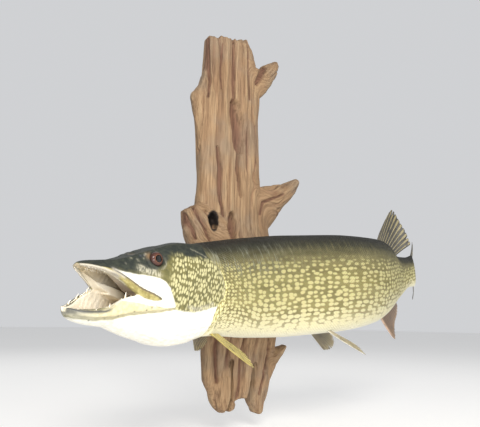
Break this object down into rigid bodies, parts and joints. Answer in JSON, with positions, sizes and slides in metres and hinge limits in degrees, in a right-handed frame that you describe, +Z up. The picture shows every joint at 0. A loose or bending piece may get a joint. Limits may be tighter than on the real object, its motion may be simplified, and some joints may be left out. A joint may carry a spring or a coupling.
{
  "type": "mounted pike",
  "caption": "Life-size mounted northern pike with its mouth wide open, fixed to an upright slab of driftwood that hangs flat on a wall.",
  "frame": {"origin": "on the driftwood slab's flat back, where it hangs on the wall", "axes": "+Z up, -Y out of the wall towards the viewer, +X from the fish's head towards its tail"},
  "size_m": [1.0786, 0.2547, 0.8639],
  "materials": {
    "skin": "painted and varnished fish skin, semi-gloss",
    "mouth": "varnished mouth lining and teeth, semi-gloss",
    "eye": "polished glass eye with a brown iris, opaque",
    "fin": "varnished fin rays and membrane, semi-gloss",
    "driftwood": "bare weathered driftwood, matt"
  },
  "bodies": {
    "root": {"head": "skin", "lower_jaw": "skin", "throat": "skin", "gill_cover_left": "skin", "gill_cover_right": "skin", "maxilla_left": "skin", "maxilla_right": "skin", "trunk": "skin", "tail": "skin", "tongue": "mouth", "eye_left": "eye", "eye_right": "eye", "dorsal_fin": "fin", "anal_fin": "fin", "caudal_fin": "fin", "pectoral_fin_left": "fin", "pectoral_fin_right": "fin", "pelvic_fin_left": "fin", "pelvic_fin_right": "fin", "driftwood": "driftwood"}
  },
  "joints": []
}
